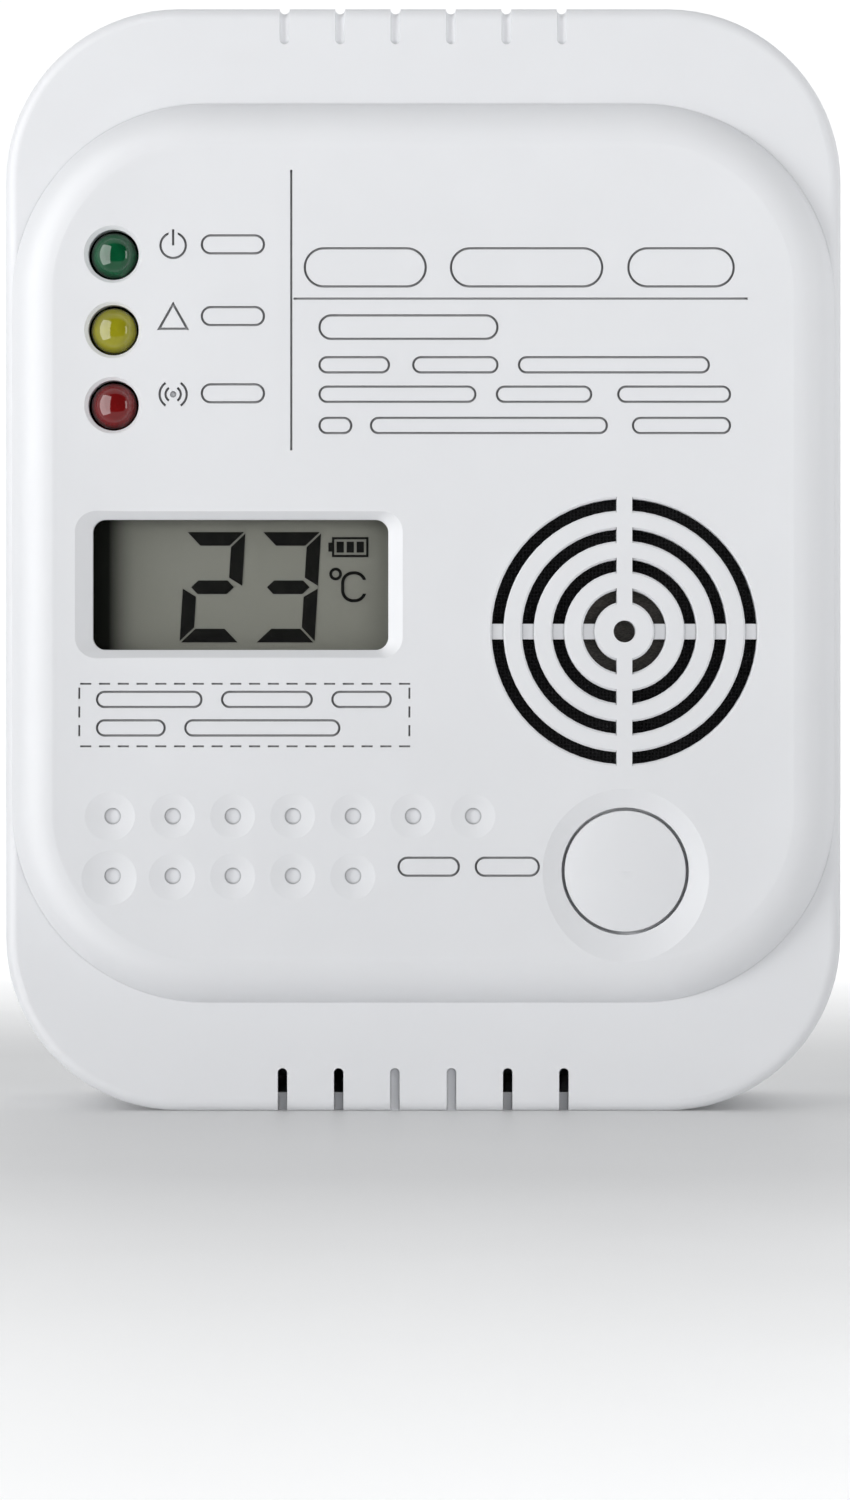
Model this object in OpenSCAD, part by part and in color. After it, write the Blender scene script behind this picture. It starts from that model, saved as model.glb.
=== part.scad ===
// Carbon monoxide detector with a hinged battery door.
// Millimetres. The case stands on its bottom edge: +X right, -Y front, +Z up, origin under its middle.
// Parts are drawn lying on their back and stood up by upright(): x across, y up the face, z out
// towards the viewer, with z = 0 at half the depth.

/* [Case] */
// Width across the case
body_w = 91.5; // [91:0.5:94]
// Height of the case
body_h = 120.7; // [120:0.1:124]
// Depth from the wall to the tips of the lamps
body_d = 38; // [38:0.5:40]
// Corner radius seen from the front
corner_r = 19; // [18:0.5:20]
// Wall thickness of both halves
wall = 1.9; // [1.8:0.1:2]
// Radius of the front edge
front_edge_r = 1.3; // [1:0.1:1.5]
// Radius of the back edge
back_edge_r = 2; // [1.5:0.1:2.2]
// Depth of the rear half, from the wall to the joint
rear_depth = 14; // [13.5:0.5:15]
// Shadow gap at the joint between the halves
joint_gap = 0.4; // [0.3:0.1:0.6]

/* [Plateau] */
// Height of the raised front above the shoulders
rise = 3; // [2.5:0.1:3.2]
// Margin from the side of the case to the foot of the bevel
side_margin = 0.8; // [0.7:0.1:1.2]
// Height of the top shoulder
top_shoulder = 10.5; // [10:0.1:12]
// Height of the bottom shoulder
bottom_shoulder = 11.9; // [11:0.1:13]
// Corner radius of the foot of the bevel
foot_r = 21.2; // [20:0.1:22]
// Width of the curved bevel round the plateau
bevel_w = 4.6; // [4:0.1:5]
// How far the rim of the plateau's face turns up
rim_rise = 0.3; // [0.1:0.05:0.4]
// Width of the upturned rim
rim_w = 10; // [6:0.5:12]
// How far the lamps stand out of the plateau
lamp_proud = 0.6; // [0.4:0.1:0.8]

/* [Window] */
// Width of the window opening
window_w = 32.2; // [31:0.1:33]
// Height of the window opening
window_h = 14.2; // [13.5:0.1:15]
// Height of the digits on the display
digit_h = 12.1; // [11:0.1:12.5]
// Width of the digits
digit_w = 6.5; // [6:0.1:7]
// Stroke of the digits
stroke = 1.5; // [1.3:0.1:1.6]

/* [Grille] */
// Outer radius of the largest slot ring
grille_r = 14.46; // [14:0.02:14.5]
// Distance from one slot ring to the next
ring_pitch = 3.3; // [3.2:0.02:3.4]
// Width of each slot ring
ring_w = 1.3; // [1.1:0.05:1.4]
// Width of the cross-shaped rib through the rings
rib_w = 1.68; // [1.4:0.02:2]
// How far the middle of the grille bulges out of the face
grille_bulge = 0.3; // [0.2:0.05:0.4]

/* [Button] */
// Radius of the test button
button_r = 6.6; // [6.5:0.05:6.9]
// Gap round the test button
button_gap = 0.35; // [0.25:0.05:0.4]

/* [Cells] */
// Radius of an AA cell
cell_r = 7.1; // [7:0.05:7.2]
// Length of an AA cell with its nub
cell_len = 50.5; // [50:0.1:50.5]
// Distance between neighbouring cells
cell_pitch = 15.2; // [15:0.1:15.4]

/* [Hidden] */
$fn = 64;

// Levels, counted out from half the depth
back_z = -body_d / 2;
joint_z = back_z + rear_depth;
face_z = body_d / 2 - lamp_proud;
shoulder_z = face_z - rise;
inner_face_z = face_z - 2;
board_z = 4;
board_t = 1.6;
glass_top_z = 13.8;
switch_top_z = 11.5;
disc_z = 7.7;

// The clear pane and the display's glass, and how far the contact strips lie from its middle
pane_w = window_w + 3.4;
pane_h = window_h + 3.4;
glass_w = window_w + 2.2;
glass_h = window_h + 2.6;
zebra_y = 7.2;

// Where things sit on the face
lamps = [[-33.7, 93.4], [-33.7, 85.2], [-33.7, 77]];
window_at = [-19.9, 57.5];
grille_at = [21.9, 52.4];
button_at = [22, 26.3];
sensor_at = [-23, 23.5];
controller_at = [-4, 82];
case_screw_x = 36.5;
case_screws_y = [9.24, body_h - 9.24];
board_screw_x = 35;
board_screws_y = [33, 101];

// Plateau
plateau_h = body_h - top_shoulder - bottom_shoulder;
plateau_y = bottom_shoulder + plateau_h / 2;
plateau_w = body_w - 2 * side_margin;

// Sounder
sounder_r = 16;
neck_r = 5;

// Lamps
lamp_r = 2.5;
lamp_len = 8.6;
lamp_tip_z = body_d / 2;

// Battery bay and door
bay_w = 56;
bay_h = 46.4;
bay_y = 41.2;
bay_floor_z = -1.4;
door_w = 61.4;
door_top = 66.7;
door_t = 2;
hinge_y = 15.2;
hinge_z = back_z + door_t;
hinge_pin_r = 1.2;
bump_y = 60;
slack = 0.3;

// Plate label
label_w = 36;
label_h = 28;
label_y = 93;

// Cells and end contacts: the cells' axis level, the contacts' inner face, and a cell's nub
cell_z = bay_floor_z - cell_r - 0.65;
plate_x = bay_w / 2 - 0.35;
cell_tip_x = plate_x - 0.05;

// Middle of cell i, counted from the bottom.
function cell_y(i) = bay_y + (i - 1) * cell_pitch;

// Keyholes for hanging the case on two screws
keyhole_x = 30;
keyhole_y = 94;
keyhole_r = 4;
keyhole_slot_r = 2.2;
keyhole_run = 7;

// ---------- helpers ----------

// Stands what was drawn lying down up on its bottom edge.
module upright() rotate([90, 0, 0]) children();

// Sweeps a profile round a rounded rectangle. In the profile, x runs out from the centre of the
// corner and y is the height.
module ring(w, h, r) {
    dx = w / 2 - r;
    dy = h / 2 - r;
    for (i = [0 : 3])
        translate([(i == 0 || i == 3) ? dx : -dx, i < 2 ? dy : -dy])
            rotate([0, 0, 90 * i]) rotate_extrude(angle = 90) children();
    for (turn = [0, 180]) rotate([0, 0, turn]) {
        translate([dx, dy]) rotate([90, 0, 0]) linear_extrude(2 * dy) children();
        translate([-dx, dy]) rotate([90, 0, 90]) linear_extrude(2 * dx) children();
    }
}

// The half section of a slab, with its front and back edges rounded.
module edge_profile(r, z0, z1, front_r, back_r) {
    translate([0, z0 + back_r]) square([r, z1 - z0 - front_r - back_r]);
    if (front_r > 0) {
        translate([0, z1 - 2 * front_r]) square([r - front_r, 2 * front_r]);
        translate([r - front_r, z1 - front_r]) circle(front_r);
    }
    if (back_r > 0) {
        translate([0, z0]) square([r - back_r, 2 * back_r]);
        translate([r - back_r, z0 + back_r]) circle(back_r);
    }
}

// A rounded rectangular slab centred on x = y = 0, between two levels.
module slab(w, h, r, z0, z1, front_r = 0, back_r = 0) {
    ring(w, h, r) edge_profile(r, z0, z1, front_r, back_r);
    translate([r - w / 2, r - h / 2, z0]) cube([w - 2 * r, h - 2 * r, z1 - z0]);
}

// A slab set in from the outline of the case all round.
module case_slab(inset, z0, z1, front_r = 0, back_r = 0)
    translate([0, body_h / 2])
        slab(body_w - 2 * inset, body_h - 2 * inset, corner_r - inset, z0, z1, front_r, back_r);

// A plain block centred in x and y, between two levels.
module block(w, h, z0, z1) translate([-w / 2, -h / 2, z0]) cube([w, h, z1 - z0]);

// A cylinder between two levels.
module rod(r, z0, z1) translate([0, 0, z0]) cylinder(r = r, h = z1 - z0);

// A tube between two levels.
module tube(r, bore_r, z0, z1) difference() {
    rod(r, z0, z1);
    rod(bore_r, z0 - 1, z1 + 1);
}

// A rounded rectangle in the plane.
module rounded(w, h, r) {
    square([w - 2 * r, h], center = true);
    square([w, h - 2 * r], center = true);
    for (x = [r - w / 2, w / 2 - r], y = [r - h / 2, h / 2 - r]) translate([x, y]) circle(r);
}

// Puts a copy at each of the four case screws.
module at_case_screws() for (side = [-1, 1], y = case_screws_y)
    translate([side * case_screw_x, y]) children();

// Puts a copy at each of the four board screws.
module at_board_screws() for (side = [-1, 1], y = board_screws_y)
    translate([side * board_screw_x, y]) children();

// ---------- front cover ----------

// Radius of an arc that rises or falls this far over a run, level at one end.
function arc_r(run, drop) = (run * run + drop * drop) / (2 * drop);

// The raised front: a flat face that turns up a little at its rim, then rolls down over the bevel
// to a crease at the shoulders. The roll runs on a little below them, into the body of the case.
module plateau() {
    crest_x = foot_r - bevel_w;
    crest_z = face_z + rim_rise;
    bevel_r = arc_r(bevel_w, rise + rim_rise);
    rim = [for (t = [0 : 1 / 6 : 1]) [crest_x - rim_w * (1 - t), face_z + rim_rise * t * t]];
    translate([0, plateau_y]) {
        ring(plateau_w, plateau_h, foot_r) {
            polygon(concat([[0, 0], [0, face_z]], rim, [[crest_x, 0]]));
            intersection() {
                translate([crest_x, crest_z - bevel_r]) circle(bevel_r);
                translate([0, shoulder_z - 1]) square([foot_r + 1, rise + rim_rise + 1]);
            }
        }
        block(plateau_w - 2 * foot_r, plateau_h - 2 * foot_r, 0, face_z);
    }
}

// The hollow behind shoulders and plateau, with the rebate that takes the rear half's tongue.
module cover_hollow() {
    inset = 3.5;
    case_slab(wall, joint_z - 1, shoulder_z - wall);
    case_slab(1, joint_z - 1, joint_z + 2.2);
    translate([0, plateau_y])
        slab(plateau_w - 2 * inset, plateau_h - 2 * inset, foot_r - inset, 0, inner_face_z);
}

// The window opening, with a soft sloping rim wider at the sides than above and below.
module window_cut() translate(window_at) {
    translate([0, 0, inner_face_z - 1]) linear_extrude(4) rounded(window_w, window_h, 1.4);
    hull() {
        translate([0, 0, face_z - 0.9]) linear_extrude(0.01) rounded(window_w, window_h, 1.4);
        translate([0, 0, face_z + 0.3])
            linear_extrude(0.01) rounded(window_w + 4.2, window_h + 2.3, 2.5);
    }
}

// The grille bulges a little out of the face.
module grille_dome() translate(grille_at) {
    edge_r = grille_r + 1.1;
    dome_r = (edge_r * edge_r + grille_bulge * grille_bulge) / (2 * grille_bulge);
    intersection() {
        rod(edge_r + 1, face_z - 0.5, face_z + 1);
        translate([0, 0, face_z + grille_bulge - dome_r]) sphere(dome_r);
    }
}

// The four rings of the grille, from a level outwards, with a slightly flared mouth.
module grille_rings(z) for (i = [0 : 3]) {
    outer = grille_r - i * ring_pitch;
    inner = outer - ring_w;
    flare = 0.2;
    rotate_extrude() polygon([
        [inner, z], [outer, z], [outer, face_z - flare],
        [outer + flare, face_z], [outer + flare, face_z + 1],
        [inner - flare, face_z + 1], [inner - flare, face_z], [inner, face_z - flare]
    ]);
}

// The slots of the grille and its middle hole. An upright rib crosses the rings flush with the
// face, and a level rib lies deeper.
module grille_cut() translate(grille_at) {
    depth = 3;
    level_rib_depth = 0.6;
    difference() {
        grille_rings(face_z - depth);
        block(2 * grille_r + 4, rib_w, 0, face_z - level_rib_depth);
        block(rib_w, 2 * grille_r + 4, 0, face_z + 2);
    }
    rod(1.2, face_z - depth, face_z + 1);
}

// The button's hole in a shallow dish.
module button_cut() translate(button_at) {
    dish_r = 30;
    rod(button_r + button_gap, inner_face_z - 1, face_z + 1);
    translate([0, 0, face_z + dish_r - 1.38]) sphere(dish_r);
}

// One hole for a lamp, slightly flared at its mouth.
module lamp_cut() {
    rod(lamp_r + 0.25, inner_face_z - 1, face_z + 1);
    translate([0, 0, face_z - 0.3]) cylinder(r1 = lamp_r + 0.25, r2 = lamp_r + 0.95, h = 0.7);
}

// The two rows of blind holes, each in a shallow dish.
module dimples_cut() {
    pitch = 6.54;
    dish_r = 12;
    for (row = [[32.3, 7], [25.8, 5]], i = [0 : row[1] - 1])
        translate([-33.8 + i * pitch, row[0], face_z]) {
            translate([0, 0, -0.65]) cylinder(r = 0.9, h = 2);
            translate([0, 0, dish_r - 0.25]) sphere(dish_r);
        }
}

// A slot seen from the front, running in from an edge at y = 0 to a round end.
module slot_plan(w, len) {
    translate([-w / 2, -1]) square([w, len + 1 - w / 2]);
    translate([0, len - w / 2]) circle(w / 2);
}

// The six slots at the bottom edge. The outer four open into the case, the inner two are blind.
module bottom_slots_cut() for (side = [-1, 1], i = [0 : 2])
    translate([side * (3.1 + i * 6.15), 0, shoulder_z - (i == 0 ? 1.3 : 2.4)])
        linear_extrude(4) slot_plan(1.05, 4.7);

// The six half-round grooves that run up the top shoulder, over the edge and back along the top.
module top_grooves_cut() {
    groove_r = 0.55;
    module groove() {
        edge_y = body_h - front_edge_r;
        edge_z = shoulder_z - front_edge_r;
        translate([0, body_h - 3.45, shoulder_z]) {
            sphere(groove_r);
            rotate([-90, 0, 0]) cylinder(r = groove_r, h = 3.45 - front_edge_r);
        }
        translate([0, edge_y, edge_z]) rotate([0, -90, 0]) rotate_extrude(angle = 90)
            translate([front_edge_r, 0]) circle(groove_r);
        translate([0, body_h, edge_z - 7]) cylinder(r = groove_r, h = 7);
    }
    for (side = [-1, 1], i = [0 : 2]) translate([side * (3.03 + i * 6.07), 0]) groove();
}

// Fine lines scored in the face: the two dividers and the dashed frame of the legend.
module score_cut() translate([0, 0, face_z - 0.35]) linear_extrude(1) {
    translate([-14.35 - 0.12, 72.1]) square([0.24, 30.5]);
    translate([-14.1, 88.6 - 0.12]) square([49.4, 0.24]);
    for (y = [39.9, 46.7], i = [0 : 17]) translate([-37.3 + i * 2.04, y - 0.1]) square([1.2, 0.2]);
    for (x = [-37.4, -1.5], i = [0 : 2]) translate([x - 0.1, 41 + i * 2.04]) square([0.2, 1.2]);
}

// Signs sunk in the face: power, fault and alarm beside the lamps, and the outlines of bars where
// a maker would mould a legend.
module signs_cut() {
    line_w = 0.25;
    depth = 0.5;
    module bar(x0, x1, y, h) translate([(x0 + x1) / 2, y]) difference() {
        rounded(x1 - x0, h, h / 2 - 0.01);
        rounded(x1 - x0 - 2 * line_w, h - 2 * line_w, h / 2 - line_w - 0.01);
    }
    module power_sign() {
        difference() {
            circle(1.5);
            circle(1.5 - line_w);
            translate([-0.5, 0]) square([1, 2]);
        }
        translate([-line_w / 2, 0]) square([line_w, 1.75]);
    }
    module fault_sign() difference() {
        polygon([[-1.75, -1.4], [1.75, -1.4], [0, 1.7]]);
        polygon([[-1.3, -1.15], [1.3, -1.15], [0, 1.15]]);
    }
    module alarm_sign() {
        circle(0.35);
        for (r = [0.95, 1.6]) difference() {
            circle(r);
            circle(r - line_w);
            for (turn = [0, 180]) rotate([0, 0, turn]) polygon([[0, 0], [-2, 3], [2, 3]]);
        }
    }
    translate([0, 0, face_z - depth]) linear_extrude(1.5) {
        translate([-27.2, 94.4]) power_sign();
        translate([-27.2, 86.6]) fault_sign();
        translate([-27.2, 78.2]) alarm_sign();
        for (y = [94.5, 86.7, 78.3]) bar(-24.2, -17.2, y, 2.2);
        for (x = [[-13, 0.4], [2.9, 19.6], [22.2, 33.9]]) bar(x[0], x[1], 92, 4.4);
        bar(-11.4, 8.2, 85.5, 2.8);
        for (x = [[-11.4, -3.6], [-1.2, 8.2], [10.3, 31.2]]) bar(x[0], x[1], 81.4, 1.9);
        for (x = [[-11.4, 5.8], [7.9, 18.4], [21.1, 33.5]]) bar(x[0], x[1], 78.2, 1.9);
        for (x = [[-11.4, -7.7], [-5.8, 20.1], [22.7, 33.5]]) bar(x[0], x[1], 74.8, 1.9);
        for (x = [[-35.6, -24], [-22, -12], [-10, -3.4]]) bar(x[0], x[1], 45, 1.9);
        for (x = [[-35.6, -28], [-26, -9]]) bar(x[0], x[1], 41.9, 1.9);
        for (x = [[-2.8, 4], [5.6, 12.7]]) bar(x[0], x[1], 26.8, 2.2);
    }
}

// Ribs, collars and screw posts on the inside of the cover.
module cover_fittings() {
    at_case_screws() rod(3.4, joint_z + 2.2, shoulder_z - wall + 0.5);
    at_board_screws() rod(2.8, board_z, inner_face_z + 0.5);
    for (at = lamps) translate(at) rod(4, 13.4, inner_face_z + 0.5);
    translate(button_at) rod(9.7, 12.5, inner_face_z + 0.5);
    translate(window_at) block(pane_w + 2.4, pane_h + 2.4, inner_face_z - 1.1, inner_face_z + 0.5);
}

// The bores and pockets in those fittings.
module cover_fittings_cut() {
    at_case_screws() rod(1.5, joint_z, joint_z + 13);
    at_board_screws() rod(1.1, board_z - 1, board_z + 8);
    for (at = lamps) translate(at) rod(3.2, 12, inner_face_z - 0.6);
    translate(button_at) rod(8.5, 12, inner_face_z);
    translate(window_at) block(pane_w + 0.3, pane_h + 0.3, 14, inner_face_z);
}

module front_cover() color([0.9, 0.9, 0.91]) upright() difference() {
    union() {
        difference() {
            union() {
                case_slab(0, joint_z, shoulder_z, front_edge_r);
                plateau();
            }
            cover_hollow();
        }
        cover_fittings();
        grille_dome();
    }
    cover_fittings_cut();
    window_cut();
    grille_cut();
    button_cut();
    for (at = lamps) translate(at) lamp_cut();
    dimples_cut();
    bottom_slots_cut();
    top_grooves_cut();
    score_cut();
    signs_cut();
}

// ---------- rear housing ----------

// The two keyholes: a round entry for the screw head and a narrower slot above it.
module keyholes_cut() for (side = [-1, 1])
    translate([side * keyhole_x, keyhole_y, back_z - 1]) {
        cylinder(r = keyhole_r, h = wall + 2);
        translate([0, keyhole_run]) cylinder(r = keyhole_slot_r, h = wall + 2);
        translate([-keyhole_slot_r, 0]) cube([2 * keyhole_slot_r, keyhole_run, wall + 2]);
    }

// The outline of the door seen from the front, grown by a margin. Its lower end is square.
module door_plan(grow) {
    w = door_w + 2 * grow;
    h = door_top + grow - hinge_y;
    translate([0, hinge_y + h / 2]) rounded(w, h, 2 + grow);
    translate([-w / 2, hinge_y]) square([w, h / 2]);
}

// A shallow scoop where a fingernail catches the top edge of the door.
module finger_scoop() translate([0, door_top + 0.5, back_z - 7.4]) sphere(9);

// The box behind each keyhole that keeps the wall screw away from the board.
module keyhole_box(grow, z0, z1) for (side = [-1, 1])
    translate([side * keyhole_x, keyhole_y + 3.2]) block(10 + 2 * grow, 16.4 + 2 * grow, z0, z1);

// The hollow half shell, with the tongue that goes into the cover.
module housing_shell() difference() {
    union() {
        case_slab(0, back_z, joint_z - joint_gap, 0, back_edge_r);
        case_slab(1.1, joint_z - 4, joint_z + 2);
    }
    case_slab(wall, back_z + wall, joint_z + 3);
}

// What stands on its floor: the walls of the battery bay, the thick rim round the door with the
// block for its hinge, the screw posts, and the boxes behind the keyholes.
module housing_fittings() {
    rim_w = door_w + 7.8;
    translate([0, bay_y]) block(bay_w + 3.2, bay_h + 3.2, back_z + 1, bay_floor_z + 1.6);
    translate([0, 40.3]) block(rim_w, 57.8, back_z + 1, hinge_z + 1.7);
    translate([0, hinge_y - 0.5]) block(rim_w, 6.6, back_z + 1, hinge_z + 3.8);
    at_case_screws() {
        rod(4.4, back_z + 1, back_z + 9);
        rod(3.4, back_z + 1, joint_z + 2.1);
    }
    keyhole_box(1.2, back_z + 1, back_z + wall + 6.2);
}

// The battery bay, and the slits in its floor for the solder tabs of the two end contacts.
module bay_cut() {
    translate([0, bay_y]) block(bay_w, bay_h, back_z - 1, bay_floor_z);
    for (end = [[-1, 0], [1, 2]]) translate([end[0] * (bay_w / 2 - 0.2), cell_y(end[1])])
        block(0.9, 3.6, bay_floor_z - 1, bay_floor_z + 3);
}

// The door's seat, the gutter for its knuckle, open towards the back, the bores for its pins, and
// the dents for its bumps.
module door_seat_cut() {
    seat_w = door_w + 2 * slack;
    translate([0, 0, back_z - 1]) linear_extrude(door_t + 1.1) door_plan(slack);
    translate([-seat_w / 2, hinge_y, hinge_z]) rotate([0, 90, 0])
        cylinder(r = door_t + slack, h = seat_w);
    translate([-seat_w / 2, hinge_y - door_t - slack, back_z - 1])
        cube([seat_w, door_t + slack, door_t + 1]);
    translate([-door_w / 2 - 2.2, hinge_y, hinge_z]) rotate([0, 90, 0])
        cylinder(r = hinge_pin_r + 0.05, h = door_w + 4.4);
    for (side = [-1, 1]) translate([side * seat_w / 2, bump_y, back_z + 1]) sphere(0.5);
    finger_scoop();
}

module rear_housing() color([0.88, 0.88, 0.89]) upright() difference() {
    union() {
        housing_shell();
        housing_fittings();
    }
    bay_cut();
    door_seat_cut();
    at_case_screws() {
        rod(3, back_z - 1, back_z + 6);
        rod(1.7, back_z - 1, joint_z + 3);
    }
    keyholes_cut();
    keyhole_box(0, back_z + wall, back_z + wall + 5);
    translate([0, label_y, back_z - 1])
        linear_extrude(1.3) rounded(label_w + 0.4, label_h + 0.4, 1.7);
}

// ---------- door and label ----------

// The door is a plate that ends in a round knuckle with a pivot pin at each end. Small bumps on
// its side edges snap into dents in the housing.
module battery_door() color([0.88, 0.88, 0.89]) upright() difference() {
    union() {
        translate([0, 0, back_z]) linear_extrude(door_t) door_plan(0);
        translate([-door_w / 2, hinge_y, hinge_z]) rotate([0, 90, 0])
            cylinder(r = door_t, h = door_w);
        translate([-door_w / 2 - 1.9, hinge_y, hinge_z]) rotate([0, 90, 0])
            cylinder(r = hinge_pin_r, h = door_w + 3.8);
        for (x = [-13, 13]) translate([x, bay_y]) block(1.2, 40, hinge_z - 0.5, hinge_z + 0.4);
        for (side = [-1, 1]) translate([side * (door_w / 2 - 0.45), bump_y, back_z + 1]) sphere(0.65);
    }
    finger_scoop();
    for (i = [0 : 4]) translate([0, door_top - 8 - i * 1.8])
        block(16, 0.7, back_z - 1, back_z + 0.4);
}

module rating_label() color([0.75, 0.76, 0.78]) upright()
    translate([0, label_y, back_z + 0.1]) linear_extrude(0.2) rounded(label_w, label_h, 1.5);

// ---------- test button and its switch ----------

// A domed cap with a flange behind the cover and a stem that rests on the switch.
module test_button() color([0.88, 0.88, 0.89]) upright() translate(button_at) {
    dome_r = 40;
    top_z = face_z + 0.15;
    intersection() {
        union() {
            rod(button_r - 0.4, inner_face_z - 1.3, face_z + 1);
            rod(button_r, inner_face_z - 1.3, face_z - 0.6);
            translate([0, 0, face_z - 0.6]) rotate_extrude() {
                square([button_r - 0.4, 0.4]);
                translate([button_r - 0.4, 0]) circle(0.4);
            }
        }
        translate([0, 0, top_z - dome_r]) sphere(dome_r);
    }
    rod(8.2, inner_face_z - 1.3, inner_face_z - 0.1);
    rod(2, switch_top_z, inner_face_z - 1.2);
}

module tact_switch_body() color([0.12, 0.12, 0.13]) upright() translate(button_at) difference() {
    block(6, 6, board_z + 0.05, board_z + 3.5);
    rod(1.8, board_z + 2, board_z + 4);
}

module tact_switch_plunger() color([0.2, 0.2, 0.2]) upright() translate(button_at)
    rod(1.75, board_z + 2.8, switch_top_z - 0.02);

module tact_switch_legs() color([0.75, 0.75, 0.77]) upright()
    for (x = [-3.25, 3.25], y = [-2.25, 2.25])
        translate([button_at[0] + x, button_at[1] + y]) {
            block(0.3, 0.7, 1.4, board_z + 1.5);
            translate([x > 0 ? -0.1 : 0.1, 0]) block(0.3, 0.7, board_z + 1.2, board_z + 1.5);
        }

// ---------- display ----------

module display_window() color([0.8, 0.9, 0.95, 0.35]) upright()
    translate(window_at) block(pane_w, pane_h, inner_face_z - 1.2, inner_face_z - 0.05);

module lcd_glass() color([0.43, 0.44, 0.4]) upright()
    translate(window_at) block(glass_w, glass_h, glass_top_z - 2.6, glass_top_z);

// Points mirrored where sx or sy is -1.
function flipped(points, sx, sy) = [for (p = points) [sx * p[0], sy * p[1]]];

// A seven-segment digit that leans to the right. lit says which segments are on: top, upper left,
// upper right, middle, lower left, lower right, bottom. They are cut slanting where they meet.
module digit(lit) {
    lean = 0.06;
    gap = 0.15;
    w = digit_w / 2;
    h = digit_h / 2;
    top = [[gap - w, h], [w - gap, h], [w - gap - stroke, h - stroke], [gap + stroke - w, h - stroke]];
    side = [[w, h - gap], [w, gap], [w - stroke, gap + 0.6 * stroke], [w - stroke, h - gap - stroke]];
    half_bar = [[w - gap - stroke, stroke / 2], [w - gap - stroke / 2, 0],
                [w - gap - stroke, -stroke / 2]];
    middle = concat(half_bar, flipped(half_bar, -1, -1));
    shapes = [
        top, flipped(side, -1, 1), side, middle,
        flipped(side, -1, -1), flipped(side, 1, -1), flipped(top, 1, -1)
    ];
    for (i = [0 : 6]) if (lit[i])
        polygon([for (p = shapes[i]) [p[0] + lean * p[1], p[1]]]);
}

// The reading of 23 degrees, with the unit and a full battery sign.
module lcd_segments() color([0.1, 0.11, 0.1]) upright()
    translate([0, 0, glass_top_z]) linear_extrude(0.08) {
        translate([-23.1, 57.35]) digit([1, 0, 1, 1, 1, 0, 1]);
        translate([-14.8, 57.35]) digit([1, 0, 1, 1, 0, 1, 1]);
        translate([-9.6, 58.8]) difference() {
            circle(0.7);
            circle(0.38);
        }
        translate([-7.6, 57.4]) difference() {
            rounded(2.8, 3.4, 1.3);
            rounded(2.1, 2.7, 0.95);
            translate([0, -0.75]) square([2, 1.5]);
        }
        translate([-8, 61.75]) {
            difference() {
                square([4, 2.2], center = true);
                square([3.5, 1.7], center = true);
            }
            translate([-2.4, -0.5]) square([0.5, 1]);
            for (x = [-1.1, 0, 1.1]) translate([x, 0]) square([0.8, 1.2], center = true);
        }
    }

module lcd_holder() color([0.15, 0.15, 0.16]) upright() translate(window_at) difference() {
    block(glass_w + 2.4, glass_h + 2.4, board_z, glass_top_z + 0.1);
    block(glass_w - 2, glass_h - 2, board_z - 1, glass_top_z + 1);
    block(glass_w + 0.2, glass_h + 0.2, glass_top_z - 2.7, glass_top_z + 1);
    for (side = [-1, 1]) translate([0, side * zebra_y])
        block(glass_w - 2, 2.3, board_z - 1, glass_top_z - 1);
}

module lcd_connectors() color([0.75, 0.45, 0.5]) upright() translate(window_at)
    for (side = [-1, 1]) translate([0, side * zebra_y])
        block(glass_w - 2.4, 2.1, board_z, glass_top_z - 2.62);

// ---------- lamps ----------

// A 5 mm lamp: flange, barrel and domed tip.
module lamp(at) upright() translate(at) {
    base_z = lamp_tip_z - lamp_len;
    rod(lamp_r, base_z, lamp_tip_z - lamp_r);
    rod(2.9, base_z, base_z + 1);
    intersection() {
        translate([0, 0, lamp_tip_z - lamp_r]) sphere(lamp_r);
        rod(lamp_r, lamp_tip_z - lamp_r, lamp_tip_z + 1);
    }
}

module led_green() color([0.02, 0.3, 0.15]) lamp(lamps[0]);
module led_yellow() color([0.5, 0.5, 0.1]) lamp(lamps[1]);
module led_red() color([0.45, 0.1, 0.1]) lamp(lamps[2]);

// Puts a copy at each of the two leads of every lamp.
module at_lamp_leads() for (at = lamps, side = [-1, 1]) translate([at[0] + side * 1.27, at[1]])
    children();

module led_spacers() color([0.93, 0.93, 0.9]) upright() difference() {
    for (at = lamps) translate(at) rod(2.9, board_z, lamp_tip_z - lamp_len - 0.05);
    at_lamp_leads() rod(0.45, board_z - 1, lamp_tip_z);
}

module led_leads() color([0.75, 0.75, 0.77]) upright()
    at_lamp_leads() rod(0.27, 1.3, lamp_tip_z - lamp_len - 0.01);

// ---------- sounder ----------

module insect_mesh() color([0.07, 0.07, 0.07]) upright() translate(grille_at)
    tube(grille_r + 1.2, neck_r + 0.7, inner_face_z - 0.25, inner_face_z - 0.02);

module sounder_felt() color([0.2, 0.19, 0.17]) upright() translate(grille_at)
    rod(neck_r + 0.3, inner_face_z - 0.3, inner_face_z - 0.02);

// A cup that stands on the board, with a neck up to the middle of the grille and a ledge inside
// for the disc.
module sounder_housing() color([0.1, 0.1, 0.11]) upright() translate(grille_at) difference() {
    union() {
        rod(sounder_r, board_z, board_z + 10);
        rod(neck_r, board_z + 9, inner_face_z - 0.32);
    }
    rod(sounder_r - 1.4, board_z - 1, disc_z + 0.3);
    rod(sounder_r - 2.8, board_z - 1, board_z + 8.8);
    rod(neck_r - 1.5, board_z, inner_face_z + 1);
}

module piezo_disc() color([0.78, 0.62, 0.3]) upright() translate(grille_at)
    rod(sounder_r - 1.6, disc_z, disc_z + 0.28);

module piezo_ceramic() color([0.85, 0.84, 0.8]) upright() translate(grille_at)
    rod(10, disc_z - 0.25, disc_z);

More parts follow.
